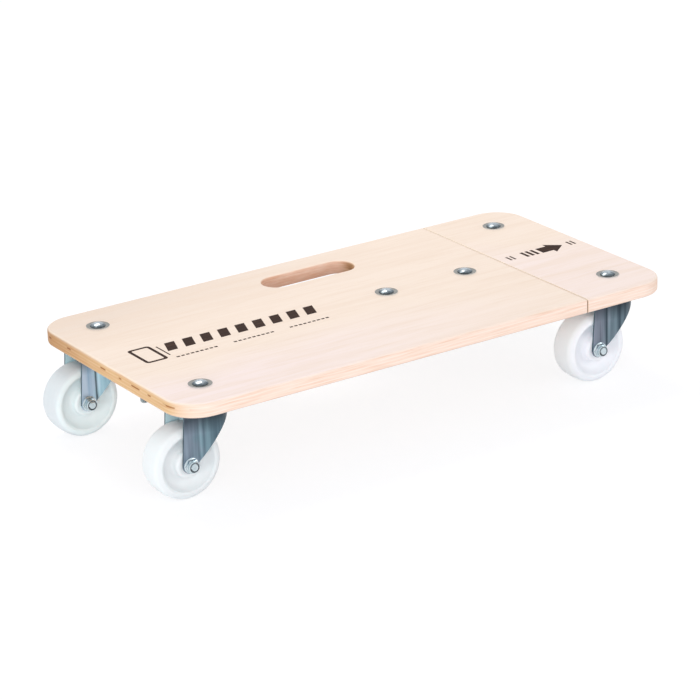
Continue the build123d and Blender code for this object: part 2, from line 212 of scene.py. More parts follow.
def plywood_surface(tree, board):
    # Where a point lies on a board: its place, its ply, and how far it leans from the face. The plies are
    # a little wavy, and the grain turns in every second one.
    low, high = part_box(board)
    coords = add(tree, COORDS)
    spot = coords.outputs["Object"]
    x, y, z = add(tree, SPLIT, {0: spot}).outputs
    facing = add(tree, SPLIT, {0: coords.outputs["Normal"]}).outputs
    wave = add(tree, NOISE, {"Vector": spot, "Scale": repeats(WAVE_LENGTH), "Detail": 1.0})
    waved = add(tree, MATH, {0: wave, 1: WAVE_HEIGHT, 2: z}, operation="MULTIPLY_ADD")
    level = add(tree, MATH, {0: waved, 1: low.z + WAVE_HEIGHT / 2}, operation="SUBTRACT")
    plies = add(tree, MATH, {0: level, 1: (high.z - low.z) / PLIES}, operation="DIVIDE")
    whole = add(tree, MATH, {0: plies}, operation="FLOOR")
    ply = add(tree, "ShaderNodeClamp", {0: whole, 1: 0.0, 2: PLIES - 1})
    crossed = add(tree, MATH, {0: ply, 1: 2.0}, operation="FLOORED_MODULO")
    upright = add(tree, MATH, {0: facing[2]}, operation="ABSOLUTE")
    edge = add(tree, RANGE, {0: upright, 1: 0.95, 2: 0.6})
    endwise = add(tree, MATH, {0: facing[0]}, operation="ABSOLUTE")
    end = add(tree, MATH, {0: endwise, 1: 4.0}, operation="POWER")
    return SimpleNamespace(
        spot=spot, x=x, y=y, level=level, plies=plies, ply=ply, crossed=crossed, edge=edge,
        endwise=endwise, end=end,
    )


def face_veneer(tree, at, pink):
    # Rotary-cut face, nearly white: cream with a pink part, a soft figure stretched along the grain, and
    # fine lines. Painted shade greys the face towards the back-left.
    along = add(tree, MIX, {0: at.crossed, 2: at.x, 3: at.y})
    across = add(tree, MIX, {0: at.crossed, 2: at.y, 3: at.x})
    shift = add(tree, MATH, {0: at.ply, 1: PLY_SHIFT}, operation="MULTIPLY")
    grain = add(tree, JOIN, {0: along, 1: across, 2: shift})
    figure_place = add(tree, MAPPING, {0: grain, "Scale": stretched(*FIGURE)})
    figure = add(tree, NOISE, {"Vector": figure_place, "Scale": 1.0, "Detail": 3.0, "Distortion": 0.7})
    fine_place = add(tree, MAPPING, {0: grain, "Scale": stretched(*FINE_LINES)})
    fine = add(tree, NOISE, {"Vector": fine_place, "Scale": 1.0, "Detail": 2.0})

    drift = add(tree, NOISE, {"Vector": at.spot, "Scale": repeats(DRIFT_PATCH), "Detail": 1.0})
    drifted = add(tree, MATH, {0: drift, 1: DRIFT, 2: at.y}, operation="MULTIPLY_ADD")
    pink_share = growing(tree, at.x, drifted, *pink)
    bare = add(tree, MIX, {0: pink_share, 6: linear("#FBE9DA"), 7: linear("#FCEBE7")}, **COLOUR)
    # Painted shade greys the face towards the back-left
    back_left_shade = growing(tree, at.x, at.y, *BACK_LEFT_SHADE)
    ground = add(tree, MIX, {0: back_left_shade, 6: bare, 7: linear("#EFEDEC")}, **STAIN)
    figure_share = add(tree, RANGE, {0: figure, 1: 0.42, 2: 0.8, 4: 0.55})
    figured = add(tree, MIX, {0: figure_share, 6: ground, 7: linear("#F1DAC6")}, **COLOUR)
    fine_share = add(tree, RANGE, {0: fine, 1: 0.5, 2: 0.78, 4: 0.25})
    face = add(tree, MIX, {0: fine_share, 6: figured, 7: linear("#EBD2BC")}, **COLOUR)
    return face, fine


def cut_edges(tree, at, face):
    # Edges that cut the face grain are tan and the others stay pale. In the seam, where the boards meet,
    # the cut ends are greyer at the front and paler towards the back: painted shade and painted light on the seam.
    long_edge = add(tree, MIX, {0: at.crossed, 6: linear("#FBE6D8"), 7: linear("#FADFCF")}, **COLOUR)
    side = add(tree, MIX, {0: at.edge, 6: face, 7: long_edge}, **COLOUR)
    end_tone = add(tree, MIX, {0: at.crossed, 6: linear("#E2B985"), 7: linear("#E9C294")}, **COLOUR)
    wood = add(tree, MIX, {0: at.end, 6: side, 7: end_tone}, **COLOUR)
    # Painted shade at the front of the seam, painted light at its back
    at_seam = add(tree, MATH, {0: at.x, 1: seam_middle(), 2: SEAM_REACH}, operation="COMPARE")
    seam_share = add(tree, MATH, {0: at_seam, 1: at.end}, operation="MULTIPLY")
    towards_back = add(tree, RANGE, {0: at.y, 1: SEAM_FRONT, 2: SEAM_BACK})
    seam_light_and_shade = add(tree, MIX, {0: towards_back, 6: linear("#CDB59E"), 7: linear("#FDF1E6")}, **COLOUR)
    return add(tree, MIX, {0: seam_share, 6: wood, 7: seam_light_and_shade}, **COLOUR)


def glue_lines_and_gaps(tree, at, wood):
    # Thin brown glue lines lie between the plies, streaks run along them, and one ply has dark gaps
    within = add(tree, MATH, {0: at.plies}, operation="FRACT")
    centred = add(tree, MATH, {0: within, 1: 0.5}, operation="SUBTRACT")
    from_middle = add(tree, MATH, {0: centred}, operation="ABSOLUTE")
    glue_line = add(tree, RANGE, {0: from_middle, 1: 0.36, 2: 0.5, 4: 0.13})
    glue_share = add(tree, MATH, {0: glue_line, 1: at.edge}, operation="MULTIPLY")
    glued = add(tree, MIX, {0: glue_share, 6: wood, 7: linear("#B07C50")}, **COLOUR)

    streak_place = add(tree, MAPPING, {0: at.spot, "Scale": stretched(*EDGE_STREAK)})
    streak = add(tree, NOISE, {"Vector": streak_place, "Scale": 1.0, "Detail": 2.0})
    streak_line = add(tree, RANGE, {0: streak, 1: 0.45, 2: 0.75, 4: 0.6})
    streak_share = add(tree, MATH, {0: streak_line, 1: at.edge}, operation="MULTIPLY")
    streaked = add(tree, MIX, {0: streak_share, 6: glued, 7: linear("#EDD3BE")}, **STAIN)

    gap_place = add(tree, MAPPING, {0: at.spot, "Scale": stretched(*EDGE_GAP)})
    gap_noise = add(tree, NOISE, {"Vector": gap_place, "Scale": 1.0, "Detail": 0.0})
    gap_line = add(tree, RANGE, {0: gap_noise, 1: 0.57, 2: 0.6})
    in_ply = add(tree, MATH, {0: at.ply, 1: GAP_PLY, 2: 0.1}, operation="COMPARE")
    gap_row = add(tree, MATH, {0: gap_line, 1: in_ply}, operation="MULTIPLY")
    gap_share = add(tree, MATH, {0: gap_row, 1: at.end}, operation="MULTIPLY")
    return add(tree, MIX, {0: gap_share, 6: streaked, 7: linear("#A86A34")}, **COLOUR)


def arris_light_and_shade(tree, at, wood):
    # Painted shade darkens the lower arris, a painted highlight lightens the upper one on the end edges, and
    # painted shade browns the edges at the back of the left end
    # Painted shade on the lower arris
    lower = add(tree, RANGE, {0: at.level, 1: LOWER_ARRIS_SHADE[0], 2: LOWER_ARRIS_SHADE[1], 4: 0.5})
    lower_share = add(tree, MATH, {0: lower, 1: at.edge}, operation="MULTIPLY")
    low_arris_shaded = add(tree, MIX, {0: lower_share, 6: wood, 7: linear("#C99B6E")}, **STAIN)
    # Painted highlight on the upper arris of the end edges
    upper = add(tree, RANGE, {0: at.level, 1: UPPER_ARRIS_HIGHLIGHT[0], 2: UPPER_ARRIS_HIGHLIGHT[1], 4: 0.75})
    upper_share = add(tree, MATH, {0: upper, 1: at.endwise}, operation="MULTIPLY")
    top_arris_highlit = add(tree, MIX, {0: upper_share, 6: low_arris_shaded, 7: linear("#FFF1DD")}, **COLOUR)
    # Painted shade on the edges at the back of the left end
    at_shaded_corner = growing(tree, at.x, at.y, *BACK_LEFT_EDGE_SHADE)
    corner_shade = add(tree, MATH, {0: at_shaded_corner, 1: at.edge}, operation="MULTIPLY")
    return add(tree, MIX, {0: corner_shade, 6: top_arris_highlit, 7: linear("#CDB7A2")}, **STAIN)


def shaded_hand_hole(tree, at, wood):
    # Painted shade darkens the walls of the hand hole, most of all at its ends
    hole, reach = hand_hole()
    in_length = add(tree, MATH, {0: at.x, 1: hole.x, 2: reach.x}, operation="COMPARE")
    in_width = add(tree, MATH, {0: at.y, 1: hole.y, 2: reach.y}, operation="COMPARE")
    in_hole = add(tree, MATH, {0: in_length, 1: in_width}, operation="MULTIPLY")
    in_wall = add(tree, MATH, {0: in_hole, 1: at.edge}, operation="MULTIPLY")
    shade_place = add(tree, MAPPING, {0: at.spot, "Scale": stretched(*HOLE_SHADE_PATCH)})
    shade_noise = add(tree, NOISE, {"Vector": shade_place, "Scale": 1.0, "Detail": 2.0})
    shade_line = add(tree, RANGE, {0: shade_noise, 1: 0.3, 2: 0.65, 3: 0.5, 4: 1.0})
    hole_shade = add(tree, MATH, {0: in_wall, 1: shade_line}, operation="MULTIPLY")
    hole_shade_tone = add(tree, MIX, {0: at.end, 6: linear("#EBD3C3"), 7: linear("#A8968A")}, **COLOUR)
    return add(tree, MIX, {0: hole_shade, 6: wood, 7: hole_shade_tone}, **STAIN)


def birch_plywood(name, board, pink):
    # Birch plywood, sanded and uncoated: a pale matt face with a soft figure, and cut edges that show the
    # plies. The fine lines are the least bit rough and raised.
    material, tree = start_material(name)
    at = plywood_surface(tree, board)
    face, fine = face_veneer(tree, at, pink)
    cut = glue_lines_and_gaps(tree, at, cut_edges(tree, at, face))
    colour = shaded_hand_hole(tree, at, arris_light_and_shade(tree, at, cut))
    roughness = add(tree, RANGE, {0: fine, 1: 0.3, 2: 0.7, 3: 0.5, 4: 0.66})
    relief = add(tree, "ShaderNodeBump", {"Height": fine, "Strength": 0.12, "Distance": 0.1 * MM})
    shader = add(
        tree, SHADER,
        {
            "Base Color": colour, "Roughness": roughness, "Normal": relief,
            "IOR": 1.5, "Specular IOR Level": 0.35,
        },
    )
    add(tree, OUTPUT, {0: shader})
    return material


# Zinc-plated steel. Places are in millimetres from the swivel, at the deck's underside.

# Painted reflections along the fork: a plain leg, then the light and dark bands of reflection on the round cup
REFLECTION_BANDS = (
    (-34, 0.52), (-27, 0.4), (-18.5, 0.36), (-14, 0.62), (-11.5, 0.34),
    (-8, 0.5), (-1, 0.16), (12, 0.12), (26, 0.6),
)

# A dark crease of painted shade and reflection between leg and cup, the change of tint there and how far
# its border wanders, and painted shade under the deck near the top, each from none to full. A face that
# looks inwards counts as an inner one, painted light, the further it lies from the fork's middle.
CREASE = -16.2
CREASE_WIDTH = (1.6, 0.3)
TINT_CHANGE = (-12, 2)
TINT_SCATTER = 24
UNDER_DECK_SHADE = (-26, -11)
INNER_FACE = (0, -5)

# Sizes of the metal's patterns in millimetres; the tumbled texture is drawn coarser than it is, to show
REFLECTION_STREAK = (5.263, 5.263, 111.1)
TINT_CLOUD = 11.11
TUMBLED = 1.1111
PLATING_CLOUD = 6.25
HIGHLIGHT_PATCH = 3.0303
GREASE_FILM = 2.0


def painted_reflection_bands(tree, along):
    # Painted reflections along the fork
    first, last = REFLECTION_BANDS[0][0], REFLECTION_BANDS[-1][0]
    share = add(tree, RANGE, {0: along, 1: first * MM, 2: last * MM})
    bands = add(tree, "ShaderNodeValToRGB", {0: share})
    stops = bands.color_ramp.elements
    stops[0].color = (REFLECTION_BANDS[0][1],) * 3 + (1.0,)
    stops[1].color = (REFLECTION_BANDS[-1][1],) * 3 + (1.0,)
    for spot, tone in REFLECTION_BANDS[1:-1]:
        stops.new((spot - first) / (last - first)).color = (tone,) * 3 + (1.0,)
    return bands


def zinc_sheet(name, swivel, dark, light, crease_shade):
    # Pressed steel sheet, electroplated with zinc and blue passivated: a grey-blue metal with a breath of
    # violet, with painted reflections in upright bands and streaks and a dark crease of painted shade. Painted
    # shade under the deck darkens its top, the sheared back edges are dull, and the inner faces are painted light
    # and less metallic.
    material, tree = start_material(name)
    coords = add(tree, COORDS)
    spot = coords.outputs["Object"]
    local = add(tree, MAPPING, {0: spot, "Location": -swivel})
    x, y, z = add(tree, SPLIT, {0: local}).outputs
    facing = add(tree, SPLIT, {0: coords.outputs["Normal"]}).outputs

    # Upright streaks of painted reflection, which also vary the roughness and relief
    streak_place = add(tree, MAPPING, {0: spot, "Scale": stretched(*REFLECTION_STREAK)})
    streak = add(tree, NOISE, {"Vector": streak_place, "Scale": 1.0, "Detail": 2.0})
    streak_tone = add(tree, RANGE, {0: streak, 1: 0.3, 2: 0.7, 3: -0.22, 4: 0.22})
    tone = add(tree, MATH, {0: painted_reflection_bands(tree, x), 1: streak_tone}, operation="ADD")
    reflections = add(tree, MIX, {0: tone, 6: linear(dark), 7: linear(light)}, **COLOUR)

    cloud = add(tree, NOISE, {"Vector": spot, "Scale": repeats(TINT_CLOUD), "Detail": 1.0})
    clouded = add(tree, MATH, {0: cloud, 1: TINT_SCATTER * MM, 2: x}, operation="MULTIPLY_ADD")
    on_cup = add(tree, RANGE, {0: clouded, 1: TINT_CHANGE[0] * MM, 2: TINT_CHANGE[1] * MM})
    tint = add(tree, MIX, {0: on_cup, 6: linear("#F1EEF6"), 7: linear("#DCEEF1")}, **COLOUR)
    tinted = add(tree, MIX, {0: 1.0, 6: reflections, 7: tint}, **STAIN)

    # A dark crease of painted shade and reflection where the leg meets the cup
    beside = add(tree, MATH, {0: x, 1: CREASE * MM}, operation="SUBTRACT")
    from_crease = add(tree, MATH, {0: beside}, operation="ABSOLUTE")
    crease_share = add(
        tree, RANGE, {0: from_crease, 1: CREASE_WIDTH[0] * MM, 2: CREASE_WIDTH[1] * MM, 4: crease_shade}
    )
    crease_shaded = add(tree, MIX, {0: crease_share, 6: tinted, 7: linear("#36444C")}, **COLOUR)
    # Painted shade under the deck darkens the top
    deck_shade_share = add(tree, RANGE, {0: z, 1: UNDER_DECK_SHADE[0] * MM, 2: UNDER_DECK_SHADE[1] * MM, 4: 0.75})
    deck_shaded = add(tree, MIX, {0: deck_shade_share, 6: crease_shaded, 7: linear("#2B3036")}, **COLOUR)

    # Inner faces are painted light and made less metallic
    inward = add(tree, MATH, {0: y, 1: facing[1]}, operation="MULTIPLY")
    inner_share = add(tree, RANGE, {0: inward, 1: INNER_FACE[0] * MM, 2: INNER_FACE[1] * MM})
    inner_lit = add(tree, MIX, {0: inner_share, 6: deck_shaded, 7: linear("#D8F2F8")}, **COLOUR)
    sheared = add(tree, RANGE, {0: facing[0], 1: -0.985, 2: -0.995})
    colour = add(tree, MIX, {0: sheared, 6: inner_lit, 7: linear("#566A74")}, **COLOUR)

    metal = add(tree, RANGE, {0: inner_share, 3: 1.0, 4: 0.15})
    roughness = add(tree, RANGE, {0: streak, 1: 0.3, 2: 0.7, 3: 0.3, 4: 0.46})
    relief = add(tree, "ShaderNodeBump", {"Height": streak, "Strength": 0.06, "Distance": 0.1 * MM})
    shader = add(
        tree, SHADER, {"Base Color": colour, "Metallic": metal, "Roughness": roughness, "Normal": relief}
    )
    add(tree, OUTPUT, {0: shader})
    return material


def zinc_fastener(name, dark, light, highlight=None):
    # Cold-headed and turned fasteners in zinc: clear reflections, broken by a light tumbled texture. A painted
    # highlight may brighten faces by how they lean: the last argument gives the lean at which it starts and ends,
    # and its tone.
    material, tree = start_material(name)
    coords = add(tree, COORDS)
    spot = coords.outputs["Object"]
    tumble = add(tree, NOISE, {"Vector": spot, "Scale": repeats(TUMBLED), "Detail": 2.0})
    cloud = add(tree, NOISE, {"Vector": spot, "Scale": repeats(PLATING_CLOUD), "Detail": 1.0})
    colour = add(tree, MIX, {0: cloud, 6: linear(dark), 7: linear(light)}, **COLOUR)
    # A painted highlight on the faces that lean within the given range
    if highlight:
        start, end, bright = highlight
        facing = add(tree, SPLIT, {0: coords.outputs["Normal"]}).outputs
        patch = add(tree, NOISE, {"Vector": spot, "Scale": repeats(HIGHLIGHT_PATCH), "Detail": 0.0})
        patch_lean = add(tree, MATH, {0: patch, 1: 0.5}, operation="SUBTRACT")
        lean = add(tree, MATH, {0: patch_lean, 1: end - start, 2: facing[2]}, operation="MULTIPLY_ADD")
        highlit = add(tree, RANGE, {0: lean, 1: start, 2: end})
        colour = add(tree, MIX, {0: highlit, 6: colour, 7: linear(bright)}, **COLOUR)
    roughness = add(tree, RANGE, {0: tumble, 1: 0.3, 2: 0.7, 3: 0.14, 4: 0.28})
    relief = add(tree, "ShaderNodeBump", {"Height": tumble, "Strength": 0.05, "Distance": 0.05 * MM})
    shader = add(
        tree, SHADER, {"Base Color": colour, "Metallic": 1.0, "Roughness": roughness, "Normal": relief}
    )
    add(tree, OUTPUT, {0: shader})
    return material


def bearing_steel():
    # Ground and polished chrome-steel balls with a film of grease: mirror-like, faintly clouded.
    material, tree = start_material("polished_bearing_steel")
    spot = add(tree, COORDS).outputs["Object"]
    film = add(tree, NOISE, {"Vector": spot, "Scale": repeats(GREASE_FILM), "Detail": 1.0})
    roughness = add(tree, RANGE, {0: film, 1: 0.35, 2: 0.7, 3: 0.06, 4: 0.22})
    shader = add(tree, SHADER, {"Base Color": linear("#B4B8BC"), "Metallic": 1.0, "Roughness": roughness})
    add(tree, OUTPUT, {0: shader})
    return material


# Nylon and ink. Sizes of their patterns are in millimetres; the moulded grain and the lines in the ink are
# drawn coarser than real ones, so that they show.

MOULDED_GRAIN = 0.7143
FLOW_CLOUD = 22.22
INK_LINES = (25, 1.4286, 1000)
WHEEL_SHOULDER = 35.0 * MM
SHOULDER_BLEND = 1.0 * MM


def painted_tread_shade(tree, spot, colour, axle, tread):
    # The tread beyond a wheel's shoulder takes another tone, painted light and shade
    local = add(tree, MAPPING, {0: spot, "Location": -axle})
    place = add(tree, SPLIT, {0: local}).outputs
    outwards = add(tree, JOIN, {0: place[0], 2: place[2]})
    reach = add(tree, "ShaderNodeVectorMath", {0: outwards}, operation="LENGTH")
    on_tread = add(
        tree, RANGE, {0: reach, 1: WHEEL_SHOULDER - SHOULDER_BLEND, 2: WHEEL_SHOULDER + SHOULDER_BLEND}
    )
    return add(tree, MIX, {0: on_tread, 6: colour, 7: linear(tread)}, **COLOUR)


def moulded_nylon(name, dark, light, tread_shade=None):
    # Injection-moulded nylon: slightly milky, satin, with a very fine moulded grain. It is natural white in the
    # wheels, and dark in the rings of the lock nuts as painted shade in their mouths. For a wheel, the last
    # argument gives its axle's place and the painted light and shade of its tread.
    material, tree = start_material(name)
    spot = add(tree, COORDS).outputs["Object"]
    grain = add(tree, NOISE, {"Vector": spot, "Scale": repeats(MOULDED_GRAIN), "Detail": 1.0})
    flow = add(tree, NOISE, {"Vector": spot, "Scale": repeats(FLOW_CLOUD), "Detail": 2.0})
    colour = add(tree, MIX, {0: flow, 6: linear(dark), 7: linear(light)}, **COLOUR)
    # The tread's own tone is painted light and shade
    if tread_shade:
        colour = painted_tread_shade(tree, spot, colour, *tread_shade)
    roughness = add(tree, RANGE, {0: grain, 1: 0.3, 2: 0.7, 3: 0.34, 4: 0.46})
    relief = add(tree, "ShaderNodeBump", {"Height": grain, "Strength": 0.05, "Distance": 0.05 * MM})
    shader = add(
        tree, SHADER,
        {
            "Base Color": colour, "Roughness": roughness, "Normal": relief, "IOR": 1.53,
            "Subsurface Weight": 0.22, "Subsurface Scale": 4.0 * MM, "Subsurface Radius": (0.8, 1.0, 1.0),
        },
    )
    add(tree, OUTPUT, {0: shader})
    return material


def stamped_ink():
    # Dark brown stamping ink soaked into bare birch: matt, and thinner along the grain lines.
    material, tree = start_material("stamped_brown_ink")
    spot = add(tree, COORDS).outputs["Object"]
    soak_place = add(tree, MAPPING, {0: spot, "Scale": stretched(*INK_LINES)})
    soak = add(tree, NOISE, {"Vector": soak_place, "Scale": 1.0, "Detail": 2.0})
    thin = add(tree, RANGE, {0: soak, 1: 0.5, 2: 0.8, 4: 0.5})
    colour = add(tree, MIX, {0: thin, 6: linear("#33211A"), 7: linear("#6A4B3A")}, **COLOUR)
    shader = add(tree, SHADER, {"Base Color": colour, "Roughness": 0.8, "Specular IOR Level": 0.2})
    add(tree, OUTPUT, {0: shader})
    return material


# Repeated pieces, as node trees with named inputs

def start_tree(name, inputs):
    tree = bpy.data.node_groups.new(name, "GeometryNodeTree")
    tree.interface.new_socket("Geometry", in_out="INPUT", socket_type="NodeSocketGeometry")
    for label, kind in inputs.items():
        tree.interface.new_socket(label, in_out="INPUT", socket_type=kind)
    tree.interface.new_socket("Geometry", in_out="OUTPUT", socket_type="NodeSocketGeometry")
    return tree, add(tree, "NodeGroupInput").outputs


def end_tree(tree, geometry, material):
    whole = add(tree, "GeometryNodeRealizeInstances", {0: geometry})
    finished = add(tree, "GeometryNodeSetMaterial", {"Geometry": whole, "Material": material})
    add(tree, "NodeGroupOutput", {0: finished})
    return tree


def lean_on_points(tree, given, shape):
    # A copy of the shape on every point, turned by the tree's Lean
    lean = add(tree, "FunctionNodeEulerToRotation", {0: given["Lean"]})
    return add(
        tree, "GeometryNodeInstanceOnPoints",
        {"Points": given["Geometry"], "Instance": shape, "Rotation": lean},
    )


def thread_tree():
    # A ridge of triangular section that winds along a bolt
    tree, given = start_tree(
        "bolt_thread",
        {
            "Turns": "NodeSocketFloat", "Length": "NodeSocketFloat", "Radius": "NodeSocketFloat",
            "Ridge": "NodeSocketFloat", "Lean": "NodeSocketVector", "Material": "NodeSocketMaterial",
        },
    )
    helix = add(
        tree, "GeometryNodeCurveSpiral",
        {
            "Resolution": 32, "Rotations": given["Turns"], "Start Radius": given["Radius"],
            "End Radius": given["Radius"], "Height": given["Length"],
        },
    )
    profile = add(tree, "GeometryNodeCurvePrimitiveCircle", {"Resolution": 3, "Radius": given["Ridge"]})
    ridge = add(
        tree, "GeometryNodeCurveToMesh", {"Curve": helix, "Profile Curve": profile, "Fill Caps": True}
    )
    return end_tree(tree, lean_on_points(tree, given, ridge), given["Material"])


def insert_tree():
    # A round ring in the mouth of a lock nut
    tree, given = start_tree(
        "lock_nut_insert",
        {
            "Ring Radius": "NodeSocketFloat", "Bead Radius": "NodeSocketFloat",
            "Lean": "NodeSocketVector", "Material": "NodeSocketMaterial",
        },
    )
    circle = add(tree, "GeometryNodeCurvePrimitiveCircle", {"Resolution": 40, "Radius": given["Ring Radius"]})
    bead = add(tree, "GeometryNodeCurvePrimitiveCircle", {"Resolution": 8, "Radius": given["Bead Radius"]})
    ring = add(tree, "GeometryNodeCurveToMesh", {"Curve": circle, "Profile Curve": bead})
    return end_tree(tree, lean_on_points(tree, given, ring), given["Material"])


def bar_tree():
    # A row of flat bars, each slanted sideways
    tree, given = start_tree(
        "stamped_bars",
        {
            "Count": "NodeSocketInt", "Pitch": "NodeSocketVector", "Size": "NodeSocketVector",
            "Slant": "NodeSocketFloat", "Material": "NodeSocketMaterial",
        },
    )
    row = add(tree, "GeometryNodeMeshLine", {"Count": given["Count"], "Offset": given["Pitch"]})
    bar = add(tree, "GeometryNodeMeshCube", {"Size": given["Size"]})
    x, y, z = add(tree, SPLIT, {0: add(tree, "GeometryNodeInputPosition")}).outputs
    sheared = add(tree, MATH, {0: y, 1: given["Slant"], 2: x}, operation="MULTIPLY_ADD")
    leaned = add(tree, JOIN, {0: sheared, 1: y, 2: z})
    slanted = add(tree, "GeometryNodeSetPosition", {"Geometry": bar, "Position": leaned})
    bars = add(tree, "GeometryNodeInstanceOnPoints", {"Points": row, "Instance": slanted})
    placed = add(tree, "GeometryNodeInstanceOnPoints", {"Points": given["Geometry"], "Instance": bars})
    return end_tree(tree, placed, given["Material"])


def grow(name, tree, points, body, slot=None, **inputs):
    # A plain mesh of what a tree makes on these points, riding on a body
    seed = bpy.data.meshes.new(name + "_points")
    seed.from_pydata([tuple(p) for p in points], [], [])
    piece = bpy.data.objects.new(name, seed)
    scene.collection.objects.link(piece)
    modifier = piece.modifiers.new("grow", "NODES")
    modifier.node_group = tree
    sockets = {item.name: item.identifier for item in tree.interface.items_tree if item.in_out == "INPUT"}
    for label, value in inputs.items():
        modifier[sockets[label.replace("_", " ")]] = value
    made = bpy.data.meshes.new_from_object(piece.evaluated_get(bpy.context.evaluated_depsgraph_get()))
    piece.modifiers.clear()
    piece.data = made
    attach(piece, body)


# Finishes of the CAD nodes

# Dark and light of each fork's sheet, set apart from fork to fork as painted light and shade, and how
# dark its painted crease is
SHEET_PAINTED_TONES = {
    "front_left": ("#5A6874", "#AFC2CC", 0.25),
    "front_right": ("#414B55", "#B6C0CA", 0.85),
    "back_left": ("#8BAFC3", "#ECF9FD", 0.85),
    "back_right": ("#667883", "#C3D1D8", 0.6),
}

# Dark and light of each wheel's nylon, and its tread: set apart from wheel to wheel, and tread from side,
# as painted light and shade
WHEEL_PAINTED_TONES = {
    "front_left": ("#E3E7E9", "#ECEEEF", "#EFF3F4"),
    "front_right": ("#EFF1F7", "#F8F8FD", "#F5F9FC"),
    "back_left": ("#E8F2F4", "#F1FAFB", "#E0E6E9"),
    "back_right": ("#EAEFF1", "#F3F6F7", "#EFF3F4"),
}


def finish_casters(chosen):
    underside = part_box("main_deck")[0].z
    for name in CASTERS:
        dark, light, tread = WHEEL_PAINTED_TONES[name]
        tread_shade = (JOINT_SPOTS[name + "_spin"], tread)
        chosen[name + "_wheel"] = moulded_nylon("white_moulded_nylon_" + name, dark, light, tread_shade)
        swivel = Vector((*JOINT_SPOTS[name + "_swivel"].xy, underside))
        sheet_name = "zinc_plated_pressed_steel_" + name
        chosen[name + "_fork"] = zinc_sheet(sheet_name, swivel, *SHEET_PAINTED_TONES[name])


def choose_finishes():
    # A finish for every node: that of its slot, then the ones of its own
    by_slot = {
        "birch_plywood": birch_plywood("birch_plywood_deck", "main_deck", PINK_DECK),
        "zinc_sheet": zinc_fastener("pressed_zinc_races", "#8E9AA2", "#C3CCD2"),
        "zinc_fastener": zinc_fastener("bright_zinc_fasteners", "#B2C3C9", "#DFE9ED"),
        "bearing_steel": bearing_steel(),
    }
    slots = {part["node"]: part["material_slot"] for part in frame["record"]["subparts"]}
    chosen = {name: by_slot[slot] for name, slot in slots.items() if slot in by_slot}
    chosen["end_board"] = birch_plywood("birch_plywood_end", "end_board", PINK_END)
    chosen["slide_tongue"] = birch_plywood("birch_plywood_tongue", "slide_tongue", PINK_DECK)
    finish_casters(chosen)
    # Washers painted a darker zinc for the dark reflections they show, with a painted highlight on their edges
    washer_zinc = zinc_fastener("painted_dark_zinc_washers", "#7E7C77", "#A09D96", highlight=(0.6, 0.3, "#E9EDEF"))
    for name in ("deck_caster_washers", "end_caster_washers", "guide_top_washers"):
        chosen[name] = washer_zinc
    # The stop bolt and nut under the deck are painted darker, as painted shade
    for name in ("stop_bolt", "stop_nut"):
        chosen[name] = zinc_fastener("shaded_zinc_" + name, "#565E5B", "#7B827E")
    # Dark zinc heads, their dark body standing in for dark reflections, with a painted highlight on the crown
    domed = zinc_fastener("highlit_zinc_bolt_heads", "#4F585E", "#788187", highlight=(0.86, 0.99, "#BCC4CA"))
    for name in ("deck_caster_bolts", "end_caster_bolts", "guide_bolts"):
        chosen[name] = domed
    return chosen, by_slot


def dress(finishes):
    for name, node in frame["nodes"].items():
        node.data.materials.clear()
        node.data.materials.append(finishes[name])


# Threads and nylon inserts of the bolts, which are 8 mm ones

BOLT_R = 4.0 * MM
THREAD_PITCH = 1.25 * MM
THREAD_SINK = 0.1 * MM
THREAD_RIDGE = 0.42 * MM
CHAMFER = 0.8 * MM
INSERT_R = 4.7 * MM
INSERT_BEAD = 0.5 * MM
UPRIGHT = (0.0, 0.0, 0.0)
TOWARDS_FRONT = (math.pi / 2, 0.0, 0.0)


def add_threads(tree, name, places, body, length, lean, material):
    grow(
        name, tree, places, body, "zinc_fastener",
        Turns=length / THREAD_PITCH, Length=length, Radius=BOLT_R - THREAD_SINK, Ridge=THREAD_RIDGE,
        Lean=lean, Material=material,
    )


def add_inserts(tree, name, places, body, lean, material):
    grow(
        name, tree, places, body,
        Ring_Radius=INSERT_R, Bead_Radius=INSERT_BEAD, Lean=lean, Material=material,
    )


def swivels(end):
    return [JOINT_SPOTS[side + "_" + end + "_swivel"] for side in ("front", "back")]


def finish_fasteners(metal):
    # Axle threads painted dark, as painted shade in their grooves
    groove_shade = zinc_fastener("shaded_zinc_threads", "#2E3438", "#4C545A")
    # The rings in the nuts' mouths are dark, as painted shade there
    nylon = moulded_nylon("dark_moulded_nylon", "#454E55", "#5E676D")
    threads = thread_tree()
    inserts = insert_tree()
    groups = {
        "deck_caster": ("deck", swivels("left"), "deck_caster_bolts", "deck_caster_nuts"),
        "end_caster": ("extension", swivels("right"), "end_caster_bolts", "end_caster_nuts"),
        "guide": ("deck", guide_spots(), "guide_bolts", "guide_nuts"),
        "stop": ("extension", [middle("stop_bolt")], "stop_bolt", "stop_nut"),
    }
    for name, (body, places, bolts, nuts) in groups.items():
        bolt_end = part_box(bolts)[0].z + CHAMFER
        nut_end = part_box(nuts)[0].z
        bolt_ends = [(p.x, p.y, bolt_end) for p in places]
        nut_ends = [(p.x, p.y, nut_end) for p in places]
        add_threads(threads, name + "_threads", bolt_ends, body, nut_end - bolt_end, UPRIGHT, metal)
        add_inserts(inserts, name + "_inserts", nut_ends, body, UPRIGHT, nylon)
    for name in CASTERS:
        axle = JOINT_SPOTS[name + "_spin"]
        bolt_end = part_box(name + "_axle_bolt")[0].y + CHAMFER / 2
        nut_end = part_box(name + "_axle_nut")[0].y
        nut_ends = [(axle.x, nut_end, axle.z)]
        body = name + "_fork_body"
        length = nut_end - bolt_end
        add_threads(threads, name + "_axle_thread", nut_ends, body, length, TOWARDS_FRONT, groove_shade)
        add_inserts(inserts, name + "_axle_insert", nut_ends, body, TOWARDS_FRONT, nylon)


